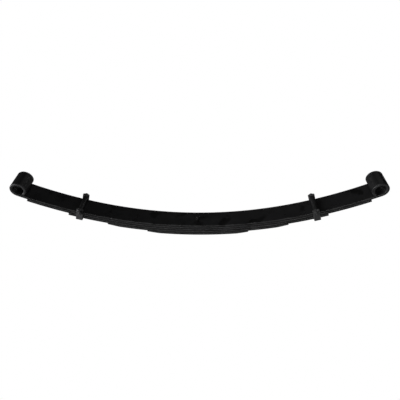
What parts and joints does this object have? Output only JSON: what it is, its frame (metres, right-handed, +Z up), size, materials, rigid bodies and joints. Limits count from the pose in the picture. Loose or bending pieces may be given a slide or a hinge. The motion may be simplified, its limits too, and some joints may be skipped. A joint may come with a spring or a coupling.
{
  "type": "leaf spring",
  "caption": "Semi-elliptic multi-leaf spring with rolled eyes, a centre bolt and bolted clips; it flexes between its eyes and the axle seat.",
  "frame": {"origin": "middle of the underside of the shortest leaf, on the centre bolt's axis, where the pack sits on the axle", "axes": "+X along the spring towards the rear eye, +Y across the leaves, +Z up, from the axle seat towards the eyes"},
  "size_m": [1.1032, 0.0925, 0.2202],
  "materials": {
    "leaf_paint": "semi-gloss black paint on spring steel",
    "clip_paint": "semi-gloss grey-black paint on the pressed strap and its bolt",
    "bolt_paint": "glossier black paint on turned steel"
  },
  "bodies": {
    "axle_seat": {"second_leaf": "leaf_paint", "third_leaf": "leaf_paint", "fourth_leaf": "leaf_paint", "fifth_leaf": "leaf_paint", "center_bolt": "bolt_paint", "center_nut": "bolt_paint"},
    "eye_leaf": {"main_leaf": "leaf_paint"},
    "front_clip": {"front_clip_strap": "clip_paint", "front_clip_rivet": "clip_paint", "front_clip_bolt": "clip_paint", "front_clip_washer": "clip_paint", "front_clip_nut": "clip_paint", "front_clip_spacer": "bolt_paint"},
    "rear_clip": {"rear_clip_strap": "clip_paint", "rear_clip_rivet": "clip_paint", "rear_clip_bolt": "clip_paint", "rear_clip_washer": "clip_paint", "rear_clip_nut": "clip_paint", "rear_clip_spacer": "bolt_paint"}
  },
  "joints": [
    {"name": "eye_travel", "type": "slide", "parent": "axle_seat", "child": "eye_leaf", "axis": [0, 0, -1], "range_m": [0, 0.09], "stiffness_N_per_m": 75000, "deforming": ["main_leaf", "second_leaf", "third_leaf", "fourth_leaf", "fifth_leaf"]},
    {"name": "front_clip_swing", "type": "hinge", "parent": "axle_seat", "child": "front_clip", "pos_m": [-0.121, 0, 0.055], "axis": [0, -1, 0], "range_deg": [0, 10]},
    {"name": "rear_clip_swing", "type": "hinge", "parent": "axle_seat", "child": "rear_clip", "pos_m": [0.121, 0, 0.055], "axis": [0, 1, 0], "range_deg": [0, 10]}
  ],
  "couplings": [
    {"joint": "front_clip_swing", "follows": "eye_travel", "rad_per_m": 1.935},
    {"joint": "rear_clip_swing", "follows": "eye_travel", "rad_per_m": 1.935}
  ]
}
